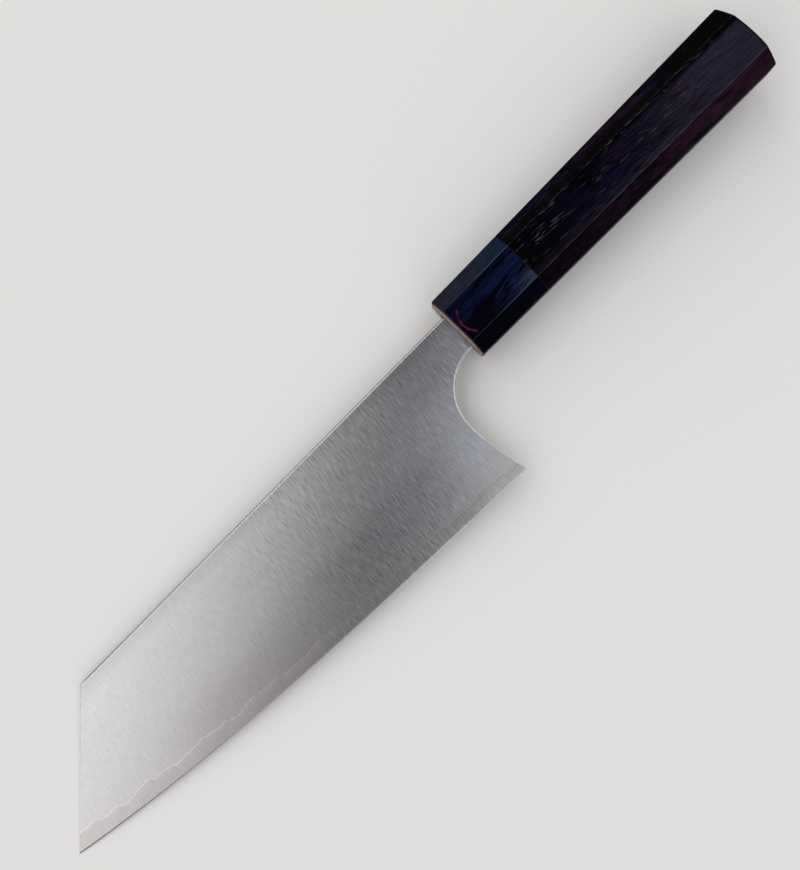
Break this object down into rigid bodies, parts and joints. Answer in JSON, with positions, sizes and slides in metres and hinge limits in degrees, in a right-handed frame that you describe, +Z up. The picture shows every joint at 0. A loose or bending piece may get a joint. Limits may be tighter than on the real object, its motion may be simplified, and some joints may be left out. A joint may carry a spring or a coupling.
{
  "type": "bunka knife",
  "caption": "Kitchen knife with a straight spine, angled clipped tip, laminated satin blade, concave choil and tapered octagonal wooden handle, for slicing and chopping food.",
  "frame": {"origin": "centre of the knife's footprint, on the table on which it lies with its right side down", "axes": "+X along the knife towards the tip, +Y towards the cutting edge, +Z up, out of the blade's left face"},
  "size_m": [0.3236, 0.058, 0.0266],
  "materials": {
    "core_steel": "satin ground, slightly warm grey, fine bright edge bevel",
    "cladding_steel": "satin with fine scratches running from spine to edge",
    "ferrule_wood": "navy stained, lacquered, blue streaks along the grain",
    "body_wood": "plum-black stained, open pores with pale flecks, satin lacquer",
    "dowel_wood": "plain turned beech, unfinished",
    "bedding_resin": "cured adhesive",
    "sealing_resin": "cured sealing resin, levelled off",
    "seam_glue": "thin cured glue line"
  },
  "bodies": {
    "root": {"core_steel": "core_steel", "left_cladding": "cladding_steel", "right_cladding": "cladding_steel", "ferrule": "ferrule_wood", "seam_glue_line": "seam_glue", "handle_body": "body_wood", "joining_dowel": "dowel_wood", "tang_bedding": "bedding_resin", "mouth_seal": "sealing_resin"}
  },
  "joints": []
}
